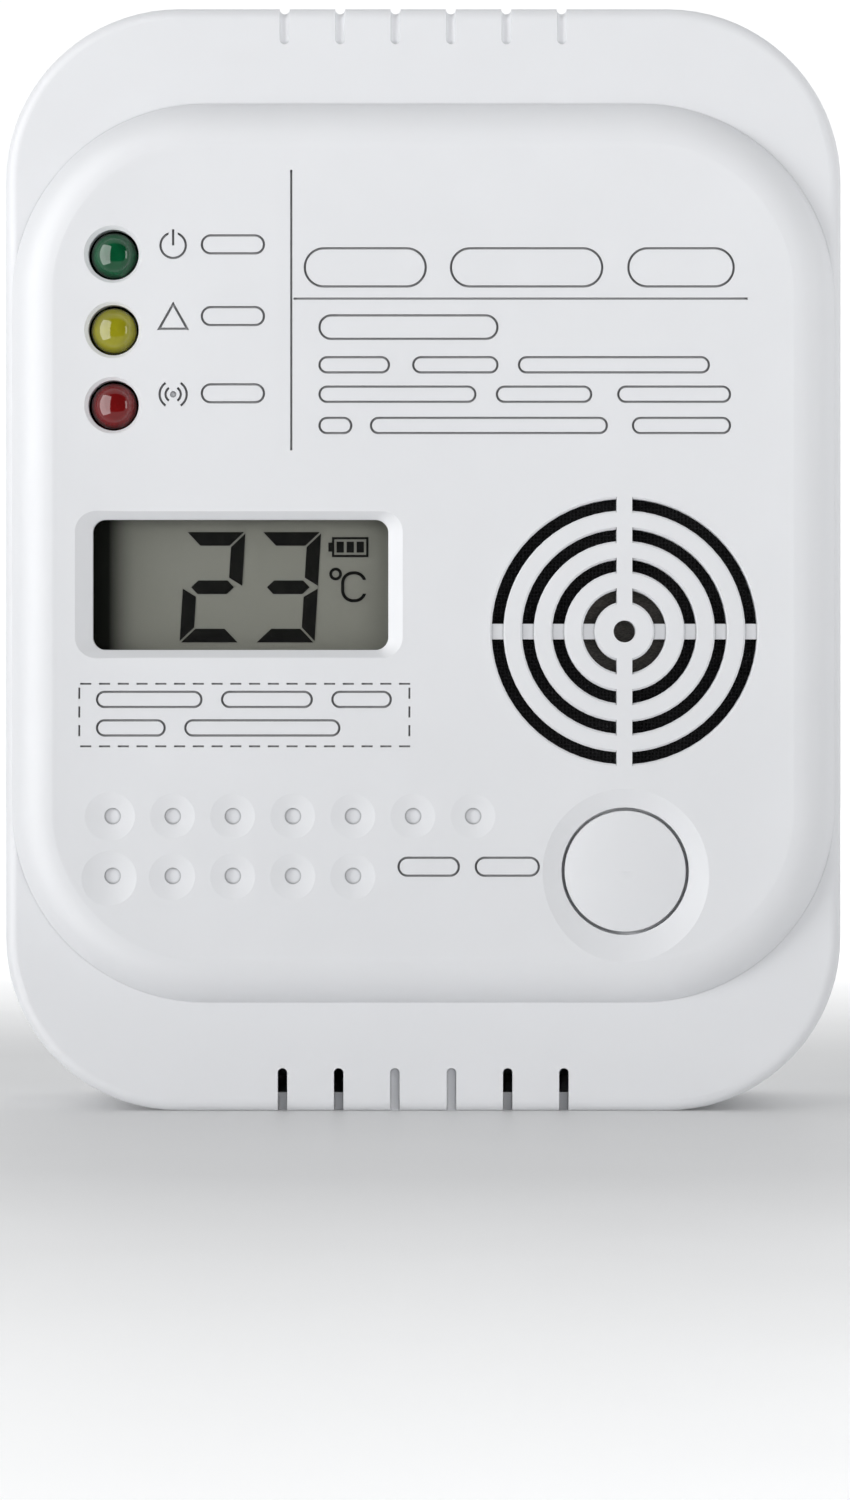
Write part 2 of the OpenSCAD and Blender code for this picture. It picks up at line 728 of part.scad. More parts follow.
// Two leads from the board to the disc and its ceramic.
module piezo_leads() color([0.7, 0.1, 0.1]) upright() translate(grille_at) {
    translate([-6, 0]) rod(0.35, 1.4, disc_z - 0.26);
    translate([-12.2, 0]) rod(0.35, 1.4, disc_z - 0.01);
}

// ---------- gas cell ----------

module co_sensor_body() color([0.1, 0.1, 0.12]) upright() translate(sensor_at)
    rod(7.7, board_z + 0.6, board_z + 8.5);

module co_sensor_cap() color([0.78, 0.78, 0.8]) upright() translate(sensor_at) difference() {
    rod(8, board_z + 3, board_z + 9);
    rod(7.72, board_z, board_z + 8.55);
    rod(1.2, board_z, board_z + 10);
}

// Puts a copy at each of the cell's three pins.
module at_sensor_pins() for (i = [0 : 2]) translate(sensor_at) rotate([0, 0, 90 + 120 * i])
    translate([5.2, 0]) children();

module co_sensor_pins() color([0.8, 0.7, 0.4]) upright() at_sensor_pins()
    rod(0.5, 1.3, board_z + 0.59);

// ---------- board ----------

module main_board() color([0.1, 0.35, 0.2]) upright() difference() {
    translate([0, 60.5, board_z - board_t]) linear_extrude(board_t) rounded(76, 91, 2);
    at_board_screws() rod(1.3, 0, board_z + 1);
    at_lamp_leads() rod(0.45, 0, board_z + 1);
    at_sensor_pins() rod(0.65, 0, board_z + 1);
    for (x = [-6, -12.2]) translate([grille_at[0] + x, grille_at[1]]) rod(0.5, 0, board_z + 1);
    for (x = [-3.25, 3.25], y = [-2.25, 2.25])
        translate([button_at[0] + x, button_at[1] + y]) block(0.5, 0.9, 0, board_z + 1);
    for (end = [0, 1]) translate(lead_hole(end)) rod(0.7, 0, board_z + 1);
}

module controller_chip() color([0.08, 0.08, 0.09]) upright() translate(controller_at)
    difference() {
        block(10, 10, board_z + 0.1, board_z + 1.5);
        translate([-3.6, 3.6]) rod(0.6, board_z + 1.4, board_z + 2);
    }

module controller_leads() color([0.75, 0.75, 0.77]) upright() translate(controller_at)
    for (turn = [0 : 90 : 270], i = [0 : 7]) rotate([0, 0, turn])
        translate([5.6, (i - 3.5) * 1.1]) {
            block(1.16, 0.4, board_z + 0.01, board_z + 0.16);
            translate([-0.4, 0]) block(0.36, 0.4, board_z + 0.05, board_z + 0.8);
        }

module crystal_can() color([0.78, 0.78, 0.8]) upright() translate([-4, 96, board_z])
    linear_extrude(3.5) rounded(11, 4.6, 2.25);

module capacitors() color([0.15, 0.16, 0.2]) upright() for (x = [20, 29])
    translate([x, 86]) {
        rod(3.15, board_z, board_z + 6.9);
        rod(2.7, board_z + 6.8, board_z + 7);
    }

module inductor() color([0.14, 0.14, 0.14]) upright() translate([14, 98]) {
    rod(4, board_z, board_z + 1);
    rod(2.6, board_z + 0.9, board_z + 5.1);
    rod(4, board_z + 5, board_z + 6);
}

// Small resistors and capacitors in rows by the controller.
module chip_parts() color([0.3, 0.27, 0.22]) upright() for (i = [0 : 5]) {
    translate([-14, 72 + i * 3.4]) block(2, 1.25, board_z, board_z + 0.6);
    translate([8, 74 + i * 3.4]) block(2, 1.25, board_z, board_z + 0.6);
    translate([-2 + i * 3, 27]) block(1.25, 2, board_z, board_z + 0.6);
}

// ---------- cells and contacts ----------

// Draws one AA cell. way is 1 with the nub to the right, -1 to the left.
module cell(i, way) upright() translate([0, cell_y(i), cell_z]) rotate([0, way > 0 ? 90 : -90, 0])
    translate([0, 0, cell_tip_x]) mirror([0, 0, 1]) {
        cylinder(r = 2.6, h = 2);
        translate([0, 0, 1.3]) rotate_extrude() {
            square([cell_r - 0.5, cell_len - 1.3]);
            translate([0, 0.5]) square([cell_r, cell_len - 2.3]);
            for (y = [0.5, cell_len - 1.8]) translate([cell_r - 0.5, y]) circle(0.5);
        }
    }

module battery_lower() color([0.15, 0.25, 0.4]) cell(0, 1);
module battery_middle() color([0.15, 0.25, 0.4]) cell(1, -1);
module battery_upper() color([0.15, 0.25, 0.4]) cell(2, 1);

// A conical spring of round wire along +Z, wound from a wide foot to a narrow tip.
module coil(foot_r, tip_r, len, turns, wire_r) {
    steps = 20 * turns;
    sides = 8;
    function at(i) = let (t = i / steps, r = foot_r + (tip_r - foot_r) * t, a = 360 * turns * t)
        [r * cos(a), r * sin(a), wire_r + (len - 2 * wire_r) * t];
    points = [for (i = [0 : steps], k = [0 : sides - 1])
        let (c = at(i), a = 360 * turns * i / steps, b = 360 * k / sides,
             out = wire_r * cos(b))
        [c[0] + out * cos(a), c[1] + out * sin(a), c[2] + wire_r * sin(b)]];
    walls = [for (i = [0 : steps - 1], k = [0 : sides - 1])
        let (n = (k + 1) % sides)
        [i * sides + k, i * sides + n, (i + 1) * sides + n, (i + 1) * sides + k]];
    foot = [[for (k = [sides - 1 : -1 : 0]) k]];
    tip = [[for (k = [0 : sides - 1]) steps * sides + k]];
    polyhedron(points, concat(walls, foot, tip));
}

// One spring at the flat end of each cell.
module battery_springs() color([0.8, 0.8, 0.82]) upright() for (i = [0 : 2]) {
    way = i == 1 ? -1 : 1;
    gap = 2 * plate_x - 0.05 - cell_len;
    translate([-way * (plate_x - 0.02), cell_y(i), cell_z]) rotate([0, way * 90, 0])
        coil(4.4, 2.8, gap - 0.06, 3, 0.35);
}

// Two end plates with solder tabs through the bay floor, and two plates that bridge two cells.
module battery_contacts() color([0.8, 0.8, 0.82]) upright() {
    for (end = [[-1, 0], [1, 2]]) translate([end[0] * (plate_x + 0.15), cell_y(end[1])]) {
        block(0.3, 12, cell_z - 5.5, cell_z + 5.5);
        block(0.3, 3, cell_z + 5, 1.5);
    }
    for (end = [[-1, 1.5], [1, 0.5]]) translate([end[0] * (plate_x + 0.15), cell_y(end[1])])
        block(0.3, cell_pitch + 12, cell_z - 5.5, cell_z + 5.5);
}

// Where the lead from an end contact goes through the board: 0 is the left one, 1 the right one.
lead_hole_x = 33;
function lead_hole(end) = end == 0 ? [-lead_hole_x, cell_y(0)] : [lead_hole_x, cell_y(2)];

// A short insulated lead: from the tab out to the side, then round a bend up through the board.
module lead(end) upright() {
    lead_r = 0.55;
    bend_r = 1.5;
    lie_z = 0.9;
    start_x = plate_x + 0.32;
    translate([0, lead_hole(end)[1], 0]) mirror([end == 0 ? 1 : 0, 0, 0]) {
        translate([start_x, 0, lie_z]) rotate([0, 90, 0])
            cylinder(r = lead_r, h = lead_hole_x - bend_r - start_x);
        translate([lead_hole_x - bend_r, 0, lie_z + bend_r]) rotate([90, 0, 0])
            rotate([0, 0, -90]) rotate_extrude(angle = 90) translate([bend_r, 0]) circle(lead_r);
        translate([lead_hole_x, 0, 0]) rod(lead_r, lie_z + bend_r, board_z + 0.4);
    }
}

module battery_lead_black() color([0.08, 0.08, 0.08]) lead(0);
module battery_lead_red() color([0.7, 0.08, 0.08]) lead(1);

// ---------- screws ----------

// A pan head screw along +Z with a cross recess, its head below z = 0.
module screw(shank_r, len, head_r, head_h) difference() {
    union() {
        cylinder(r = shank_r, h = len);
        rotate_extrude() {
            translate([0, -head_h]) square([head_r - 0.5, head_h]);
            translate([0, -head_h + 0.5]) square([head_r, head_h - 0.5]);
            translate([head_r - 0.5, -head_h + 0.5]) circle(0.5);
        }
    }
    for (turn = [0, 90]) rotate([0, 0, turn]) block(head_r * 1.1, 0.6, -head_h - 1, -head_h * 0.4);
}

module case_screws() color([0.7, 0.7, 0.72]) upright() at_case_screws()
    translate([0, 0, back_z + 6]) screw(1.45, 20, 2.75, 2);

module board_screws() color([0.7, 0.7, 0.72]) upright() at_board_screws()
    translate([0, 0, board_z - board_t]) screw(1.05, 8, 2, 1.4);

// ---------- what is drawn ----------

front_cover();
rear_housing();
battery_door();
rating_label();
test_button();
tact_switch_body();
tact_switch_plunger();
tact_switch_legs();
display_window();
lcd_glass();
lcd_segments();
lcd_holder();
lcd_connectors();
led_green();
led_yellow();
led_red();
led_spacers();
led_leads();
insect_mesh();
sounder_felt();
sounder_housing();
piezo_disc();
piezo_ceramic();
piezo_leads();
co_sensor_body();
co_sensor_cap();
co_sensor_pins();
main_board();
controller_chip();
controller_leads();
crystal_can();
capacitors();
inductor();
chip_parts();
battery_upper();
battery_middle();
battery_lower();
battery_springs();
battery_contacts();
battery_lead_red();
battery_lead_black();
case_screws();
board_screws();
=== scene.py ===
"""The looks of a carbon monoxide detector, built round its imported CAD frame. Lengths are in metres."""
import math

import bpy
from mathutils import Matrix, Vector

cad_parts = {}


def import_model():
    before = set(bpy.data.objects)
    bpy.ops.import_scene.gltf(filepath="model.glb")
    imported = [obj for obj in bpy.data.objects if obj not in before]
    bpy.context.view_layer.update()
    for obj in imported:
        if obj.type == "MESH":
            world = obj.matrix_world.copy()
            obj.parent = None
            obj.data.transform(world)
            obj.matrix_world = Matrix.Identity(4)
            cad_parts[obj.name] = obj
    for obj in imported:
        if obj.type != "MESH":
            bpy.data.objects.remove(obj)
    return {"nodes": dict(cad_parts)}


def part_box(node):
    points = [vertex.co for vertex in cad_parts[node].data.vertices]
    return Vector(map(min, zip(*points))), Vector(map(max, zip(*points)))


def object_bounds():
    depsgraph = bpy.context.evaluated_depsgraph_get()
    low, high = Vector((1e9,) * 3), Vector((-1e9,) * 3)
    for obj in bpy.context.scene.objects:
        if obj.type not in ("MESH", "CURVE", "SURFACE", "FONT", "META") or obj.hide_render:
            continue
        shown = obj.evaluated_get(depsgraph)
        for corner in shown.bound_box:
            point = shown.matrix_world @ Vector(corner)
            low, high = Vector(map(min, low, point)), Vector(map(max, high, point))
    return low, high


MM = 0.001
MIDDLE = (0, 0, 0.06)
BACKDROP_COLOUR = (0.99, 0.995, 1)
BACKDROP_STRENGTH = 1.05

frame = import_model()
cad_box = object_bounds()
nodes = frame["nodes"]


# ---------- node helpers ----------

class Graph:
    """A material's node tree, with short names for the few nodes that every finish here uses."""

    def __init__(self, name):
        self.material = bpy.data.materials.new(name)
        self.material.use_nodes = True
        self.tree = self.material.node_tree
        self.shader = self.tree.nodes["Principled BSDF"]
        self.place = self.add("ShaderNodeTexCoord").outputs["Object"]
        separate = self.add("ShaderNodeSeparateXYZ")
        self.feed(separate.inputs[0], self.place)
        self.x, self.y, self.z = separate.outputs

    def add(self, kind, **settings):
        """A new node of a kind, with its own settings."""
        node = self.tree.nodes.new(kind)
        for key, value in settings.items():
            setattr(node, key, value)
        return node

    def feed(self, socket, value):
        """Links an output to a socket, or sets the socket's own number or colour."""
        if isinstance(value, bpy.types.NodeSocket):
            self.tree.links.new(value, socket)
        elif socket.type == "RGBA":
            socket.default_value = (*value, 1)
        else:
            socket.default_value = value

    def look(self, **values):
        """Sets the shader's inputs, with spaces in their names written as underscores."""
        for key, value in values.items():
            self.feed(self.shader.inputs[key.replace("_", " ")], value)

    def flat(self, a, b):
        """A vector from two coordinates, for patterns that lie in a plane."""
        node = self.add("ShaderNodeCombineXYZ")
        self.feed(node.inputs[0], a)
        self.feed(node.inputs[1], b)
        return node.outputs[0]

    def length(self, vector):
        """The distance of a point from the origin."""
        node = self.add("ShaderNodeVectorMath", operation="LENGTH")
        self.feed(node.inputs[0], vector)
        return node.outputs["Value"]

    def math(self, operation, *values):
        """One step of arithmetic on outputs or plain numbers."""
        node = self.add("ShaderNodeMath", operation=operation)
        for socket, value in zip(node.inputs, values):
            self.feed(socket, value)
        return node.outputs[0]

    def offset(self, value, start):
        """A value counted from a start instead of from zero."""
        return self.math("SUBTRACT", value, start)

    def within(self, value, low, high):
        """1 where a value lies between two numbers, and 0 elsewhere."""
        return self.math("COMPARE", value, (low + high) / 2, (high - low) / 2)

    def saw(self, value, pitch, start=0.0):
        """Runs from 0 to 1 over every pitch."""
        return self.math("FRACT", self.math("DIVIDE", self.offset(value, start), pitch))

    def wave(self, value, pitch):
        """Swings between -1 and 1 once over every pitch."""
        return self.math("SINE", self.math("MULTIPLY", value, 2 * math.pi / pitch))

    def noise(self, size, detail=2.0, stretch=(1, 1, 1)):
        """Noise whose grains are about size metres across, from 0 to 1."""
        scaled = self.add("ShaderNodeMapping")
        self.feed(scaled.inputs["Vector"], self.place)
        scaled.inputs["Scale"].default_value = [s / size for s in stretch]
        node = self.add("ShaderNodeTexNoise")
        self.feed(node.inputs["Vector"], scaled.outputs[0])
        node.inputs["Scale"].default_value = 1
        node.inputs["Detail"].default_value = detail
        return node.outputs["Fac"]

    def span(self, value, low, high, from_low=0.3, from_high=0.7):
        """Stretches the middle of a 0 to 1 value over low to high."""
        node = self.add("ShaderNodeMapRange")
        self.feed(node.inputs["Value"], value)
        node.inputs["From Min"].default_value = from_low
        node.inputs["From Max"].default_value = from_high
        node.inputs["To Min"].default_value = low
        node.inputs["To Max"].default_value = high
        return node.outputs["Result"]

    def mix(self, share, a, b):
        """Colour a at share 0 and b at share 1."""
        node = self.add("ShaderNodeMix", data_type="RGBA")
        self.feed(node.inputs["Factor"], share)
        self.feed(node.inputs[6], a)
        self.feed(node.inputs[7], b)
        return node.outputs[2]

    def crevice_shade(self, reach):
        """0 in narrow grooves and inner corners, within reach metres of their walls, 1 elsewhere; a mask
        for painted shade.
        """
        node = self.add("ShaderNodeAmbientOcclusion", samples=8, only_local=True)
        node.inputs["Distance"].default_value = reach
        return self.span(node.outputs["AO"], 0, 1, 0.25, 0.8)

    def bump(self, height, depth):
        """Raises the surface by up to depth metres."""
        node = self.add("ShaderNodeBump")
        node.inputs["Strength"].default_value = 1
        node.inputs["Distance"].default_value = depth
        self.feed(node.inputs["Height"], height)
        self.feed(self.shader.inputs["Normal"], node.outputs["Normal"])


def shade(colour, factor):
    """A colour made darker or lighter."""
    return tuple(channel * factor for channel in colour)


def dress(material, *names):
    """Gives CAD nodes a material in place of their own."""
    for name in names:
        mesh = nodes[name].data
        mesh.materials.clear()
        mesh.materials.append(material)


# ---------- materials ----------

def moulded(name, colour, rough=0.42, grain=0.22 * MM, relief=0.004 * MM, cloud=0.975):
    """Injection-moulded plastic: a spark-eroded grain, faint clouds in its tone and in its gloss."""
    g = Graph(name)
    g.tint = g.mix(g.span(g.noise(30 * MM, 3), 0, 1), shade(colour, cloud), colour)
    g.look(Base_Color=g.tint, Roughness=g.span(g.noise(4 * MM, 4), rough - 0.05, rough + 0.05),
           IOR=1.53)
    g.bump(g.noise(grain, 2), relief)
    return g


def white_case(name, **finish):
    """The white of the case, with painted shade: greyer down in scored lines, gaps and creases."""
    g = moulded(name, (0.80, 0.808, 0.828), **finish)
    # Painted shade: grooves, gaps and creases are greyed by ambient occlusion.
    g.look(Base_Color=g.mix(g.crevice_shade(0.4 * MM), (0.2, 0.2, 0.21), g.tint),
           Subsurface_Weight=0.05, Subsurface_Radius=(1, 0.95, 0.9), Subsurface_Scale=1.0 * MM)
    return g.material


def lamp_epoxy(name, colour, core):
    """Tinted epoxy, cloudier towards the middle of the lamp, with a glassy skin."""
    g = Graph(name)
    g.look(Base_Color=g.mix(g.span(g.noise(2.5 * MM, 1), 0, 1), colour, core),
           Roughness=g.span(g.noise(1.2 * MM, 3), 0.05, 0.09), IOR=1.58,
           Coat_Weight=0.7, Coat_Roughness=0.03)
    g.bump(g.noise(1.5 * MM, 1), 0.003 * MM)
    return g.material


def metal(name, colour, rough=0.3, stretch=(1, 1, 1)):
    """Plated or rolled metal, with its drawing marks along the axis that is stretched."""
    g = Graph(name)
    marks = g.noise(0.3 * MM, 3, stretch)
    g.look(Base_Color=g.mix(g.span(g.noise(3 * MM, 3), 0, 1), shade(colour, 0.86), colour),
           Metallic=1.0, Roughness=g.span(marks, rough - 0.07, rough + 0.09))
    g.bump(marks, 0.003 * MM)
    return g.material


def clear_acrylic():
    """The thin pane over the display, polished but not quite flat."""
    g = Graph("window_clear")
    g.look(Base_Color=g.mix(g.span(g.noise(9 * MM), 0, 1), (0.93, 0.96, 0.95), (0.98, 0.99, 0.98)),
           Roughness=g.span(g.noise(5 * MM, 3), 0.02, 0.05), IOR=1.49,
           Transmission_Weight=1.0, Alpha=0.2)
    g.bump(g.noise(14 * MM, 1), 0.006 * MM)
    return g.material


def display_glass():
    """The reflective film behind a grey-green display, with a painted shadow darkening its left, where
    the window's wall shades it.
    """
    g = Graph("display_grey")
    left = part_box("lcd_glass")[0].x
    sparkle = g.span(g.noise(0.12 * MM, 2), 0, 1)
    tone = g.mix(sparkle, (0.185, 0.186, 0.158), (0.215, 0.216, 0.185))
    film = g.mix(g.span(g.noise(16 * MM, 2), 0, 0.5), tone, (0.225, 0.225, 0.2))
    # Painted shadow: the film fades to near black towards its left edge, as the shade of the window's
    # left wall.
    painted_wall_shadow = g.span(g.x, 1, 0, left + 2.6 * MM, left + 5.6 * MM)
    g.look(Base_Color=g.mix(g.math("POWER", painted_wall_shadow, 1.5), film, (0.003, 0.004, 0.002)),
           Roughness=g.span(sparkle, 0.38, 0.5, 0, 1), Specular_IOR_Level=0.15)
    g.bump(g.noise(0.1 * MM, 2), 0.002 * MM)
    return g.material


def display_ink():
    """The near-black of the display's segments."""
    g = Graph("display_segments")
    g.look(Base_Color=g.mix(g.span(g.noise(1.5 * MM, 3), 0, 1), (0.002, 0.002, 0.002),
                            (0.005, 0.005, 0.004)),
           Roughness=g.span(g.noise(0.3 * MM), 0.3, 0.42), Specular_IOR_Level=0.15)
    g.bump(g.noise(0.1 * MM, 2), 0.001 * MM)
    return g.material


def zebra_rubber():
    """Contact strips of silicone, pink outside with black conducting layers across them."""
    g = Graph("zebra_strip")
    layers = g.span(g.wave(g.x, 0.4 * MM), 0, 1, -0.2, 0.2)
    g.look(Base_Color=g.mix(layers, (0.55, 0.26, 0.28), (0.02, 0.02, 0.02)),
           Roughness=g.span(g.noise(1 * MM, 3), 0.5, 0.62))
    g.bump(layers, 0.01 * MM)
    return g.material


def woven_mesh():
    """Black insect mesh, woven both ways."""
    thread_pitch = 0.4 * MM
    g = Graph("insect_mesh_black")
    threads = g.math("MAXIMUM", g.wave(g.x, thread_pitch), g.wave(g.z, thread_pitch))
    g.look(Base_Color=g.mix(g.span(threads, 0, 1, 0, 1), (0.002, 0.002, 0.002),
                            (0.012, 0.012, 0.013)),
           Roughness=g.span(g.noise(1 * MM), 0.5, 0.65), Specular_IOR_Level=0.2)
    g.bump(threads, 0.08 * MM)
    return g.material


def felt():
    """Grey matted fibres, pressed a little flat."""
    g = Graph("felt_grey")
    fibres = g.noise(0.3 * MM, 5, (1, 1, 3))
    g.look(Base_Color=g.mix(g.span(fibres, 0, 1), (0.018, 0.016, 0.014), (0.075, 0.068, 0.06)),
           Roughness=g.span(fibres, 0.85, 1.0), Sheen_Weight=0.3, Sheen_Roughness=0.5)
    g.bump(fibres, 0.15 * MM)
    return g.material


def circuit_board():
    """Green solder mask: brighter over the copper traces, which run like the joints of two layers of
    brickwork and leave patches free, darker over bare laminate."""
    g = Graph("board_green")
    # The bricks are counted from a corner a metre off, so that no coordinate is negative.
    corner = -1.0
    trace_width = 0.17 * MM
    traces = 0.0
    for width, row, shift in ((9.5 * MM, 2.3 * MM, 0), (5.3 * MM, 3.7 * MM, 1.1 * MM)):
        brick = g.add("ShaderNodeTexBrick", offset=0.37)
        g.feed(brick.inputs["Vector"],
               g.flat(g.offset(g.x, corner - shift), g.offset(g.z, corner)))
        for key, value in (("Scale", 1), ("Mortar Size", trace_width), ("Mortar Smooth", 0.2),
                           ("Brick Width", width), ("Row Height", row)):
            brick.inputs[key].default_value = value
        traces = g.math("MAXIMUM", traces, brick.outputs["Fac"])
    traces = g.math("MULTIPLY", traces, g.math("GREATER_THAN", g.noise(13 * MM, 1), 0.42))
    mask = g.mix(g.span(g.noise(8 * MM, 3), 0, 1), (0.008, 0.075, 0.03), (0.012, 0.1, 0.04))
    g.look(Base_Color=g.mix(traces, mask, (0.03, 0.2, 0.07)),
           Roughness=g.span(g.noise(2 * MM, 3), 0.24, 0.36), IOR=1.55)
    g.bump(traces, 0.03 * MM)
    return g.material


def matt_resin(name, colour, rough):
    """Filled epoxy or ceramic, with a fine mineral grain."""
    g = Graph(name)
    grains = g.noise(0.12 * MM, 3)
    g.look(Base_Color=g.mix(g.span(grains, 0, 1), shade(colour, 0.7), shade(colour, 1.25)),
           Roughness=g.span(g.noise(0.8 * MM, 3), rough - 0.07, rough + 0.07))
    g.bump(grains, 0.008 * MM)
    return g.material


def capacitor_can():
    """A dark sleeve with a pale stripe down one side and a bare aluminium top."""
    g = Graph("capacitor_sleeve")
    low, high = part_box("capacitors")
    can_width = 6.3 * MM
    pitch = high.x - low.x - can_width
    top = g.math("LESS_THAN", g.y, low.y + 0.15 * MM)
    stripe = g.math("LESS_THAN", g.saw(g.x, pitch, low.x), 1.0 * MM / pitch)
    sleeve = g.mix(stripe, (0.012, 0.016, 0.035), (0.42, 0.43, 0.45))
    g.look(Base_Color=g.mix(top, sleeve, (0.72, 0.73, 0.74)), Metallic=top,
           Roughness=g.span(g.noise(1 * MM, 3), 0.26, 0.4))
    g.bump(g.noise(0.4 * MM, 3), 0.006 * MM)
    return g.material


def wound_core():
    """A ferrite bobbin with enamelled copper wire wound between its two plates."""
    g = Graph("inductor_wound")
    low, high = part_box("inductor")
    plate = 1.05 * MM
    wire = 0.36 * MM
    winding = g.within(g.y, low.y + plate, high.y - plate)
    turns = g.wave(g.y, wire)
    copper = g.mix(g.span(turns, 0, 1, -1, 1), (0.17, 0.045, 0.012), (0.52, 0.17, 0.05))
    ferrite = g.mix(g.span(g.noise(0.3 * MM, 3), 0, 1), (0.018, 0.018, 0.02), (0.045, 0.045, 0.048))
    g.look(Base_Color=g.mix(winding, ferrite, copper),
           Roughness=g.span(g.noise(0.6 * MM, 3), 0.35, 0.55))
    g.bump(g.math("MULTIPLY", turns, winding), 0.08 * MM)
    return g.material


def cell_sleeve(name, way):
    """A dry cell: a printed sleeve with a silver band at its nub, and bare steel at both ends. way
    is 1 where the nub points to +X and -1 where it points to -X."""
    g = Graph(name + "_sleeve")
    low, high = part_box(name)
    centre = (low + high) / 2
    nub_x = high.x if way > 0 else low.x
    bare_radius = 6.62 * MM
    band_width = 13 * MM
    line_width = 0.8 * MM
    radius = g.length(g.flat(g.offset(g.y, centre.y), g.offset(g.z, centre.z)))
    steel = g.math("LESS_THAN", radius, bare_radius)
    from_nub = g.math("ABSOLUTE", g.offset(g.x, nub_x))
    band = g.math("LESS_THAN", from_nub, band_width)
    line = g.within(from_nub, band_width, band_width + line_width)
    body = g.mix(g.span(g.noise(12 * MM, 2), 0, 1), (0.012, 0.035, 0.13), (0.018, 0.05, 0.17))
    sleeve = g.mix(line, g.mix(band, body, (0.5, 0.52, 0.55)), (0.75, 0.76, 0.78))
    g.look(Base_Color=g.mix(steel, sleeve, (0.6, 0.6, 0.59)),
           Metallic=g.math("MAXIMUM", steel, g.math("MULTIPLY", band, 0.75)),
           Roughness=g.span(g.noise(6 * MM, 3), 0.24, 0.3))
    g.bump(g.noise(5 * MM, 1), 0.003 * MM)
    return g.material


def printed_foil():
    """A silvery plate label: a printed frame, two rules, and rows of grey bars in place of words."""
    g = Graph("label_foil")
    low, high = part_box("rating_label")
    centre = (low + high) / 2
    wider_by = (high.x - low.x - high.z + low.z) / 2
    frame_at, margin = 12.4 * MM, 11 * MM
    row_pitch, word_pitch = 1.75 * MM, 2.9 * MM
    u = g.offset(g.x, centre.x)
    v = g.offset(g.z, centre.z)
    out = g.math("MAXIMUM", g.offset(g.math("ABSOLUTE", u), wider_by), g.math("ABSOLUTE", v))
    rules = g.math("MAXIMUM", g.within(v, 6.1 * MM, 6.3 * MM), g.within(v, -4.7 * MM, -4.5 * MM))
    rules = g.math("MULTIPLY", rules, g.math("LESS_THAN", out, frame_at))
    lines = g.math("MAXIMUM", g.within(out, frame_at, frame_at + 0.3 * MM), rules)
    draw = g.add("ShaderNodeTexWhiteNoise", noise_dimensions="2D")
    g.feed(draw.inputs["Vector"], g.flat(g.math("FLOOR", g.math("DIVIDE", u, word_pitch)),
                                         g.math("FLOOR", g.math("DIVIDE", v, row_pitch))))
    words = g.math("MULTIPLY", g.within(g.saw(v, row_pitch), 0.3, 0.62),
                   g.math("GREATER_THAN", draw.outputs["Value"], 0.35))
    words = g.math("MULTIPLY", words, g.math("LESS_THAN", out, margin))
    ink = g.math("MAXIMUM", lines, g.math("MULTIPLY", words, 0.75))
    foil = g.mix(g.span(g.noise(1 * MM, 3, (0.05, 1, 1)), 0, 1), (0.62, 0.63, 0.65),
                 (0.72, 0.73, 0.75))
    g.look(Base_Color=g.mix(ink, foil, (0.06, 0.06, 0.065)),
           Metallic=g.math("MULTIPLY", g.math("SUBTRACT", 1, ink), 0.35),
           Roughness=g.span(g.noise(2 * MM, 3), 0.34, 0.46))
    g.bump(g.noise(0.5 * MM, 3), 0.004 * MM)
    return g.material


# ---------- which piece wears what ----------

def dress_case():
    dress(white_case("case_white_fine"), "front_cover", "test_button")
    grained = white_case("case_white_grained", rough=0.5, grain=0.45 * MM, relief=0.012 * MM)
    dress(grained, "rear_housing", "battery_door")
    dress(printed_foil(), "rating_label")


def dress_face():
    """The lamps, the display and what shows through the grille."""
    dress(lamp_epoxy("lamp_green", (0.001, 0.06, 0.02), (0.002, 0.1, 0.035)), "led_green")
    dress(lamp_epoxy("lamp_yellow", (0.25, 0.235, 0.006), (0.33, 0.31, 0.01)), "led_yellow")
    dress(lamp_epoxy("lamp_red", (0.13, 0.003, 0.003), (0.19, 0.006, 0.007)), "led_red")
    dress(clear_acrylic(), "display_window")
    dress(display_glass(), "lcd_glass")
    dress(display_ink(), "lcd_segments")
    dress(zebra_rubber(), "lcd_connectors")
    dress(woven_mesh(), "insect_mesh")
    dress(felt(), "sounder_felt")


def dress_board():
    """The circuit board and the parts that stand on it."""
    dress(circuit_board(), "main_board")
    dress(capacitor_can(), "capacitors")
    dress(wound_core(), "inductor")
    black = moulded("nylon_black", (0.012, 0.012, 0.013), rough=0.45, cloud=0.8).material
    dress(black, "lcd_holder", "sounder_housing", "tact_switch_body", "co_sensor_body")
    dress(moulded("plunger_grey", (0.05, 0.05, 0.052), rough=0.4).material, "tact_switch_plunger")
    dress(moulded("spacer_natural", (0.62, 0.61, 0.55), rough=0.48).material, "led_spacers")
    dress(matt_resin("package_black", (0.016, 0.016, 0.017), 0.55), "controller_chip")
    dress(matt_resin("chip_ceramic", (0.16, 0.11, 0.07), 0.5), "chip_parts")
    dress(matt_resin("piezo_ceramic", (0.62, 0.6, 0.55), 0.45), "piezo_ceramic")
    tinned = metal("tinned_copper", (0.68, 0.68, 0.67))
    dress(tinned, "tact_switch_legs", "led_leads", "controller_leads")
    dress(metal("can_nickel", (0.66, 0.65, 0.62), rough=0.24, stretch=(0.1, 1, 1)), "crystal_can")
    dress(metal("cap_stainless", (0.6, 0.6, 0.6), stretch=(1, 1, 0.1)), "co_sensor_cap")
    dress(metal("pin_brass", (0.7, 0.52, 0.22)), "co_sensor_pins")
    dress(metal("disc_brass", (0.66, 0.46, 0.17), stretch=(0.1, 1, 1)), "piezo_disc")


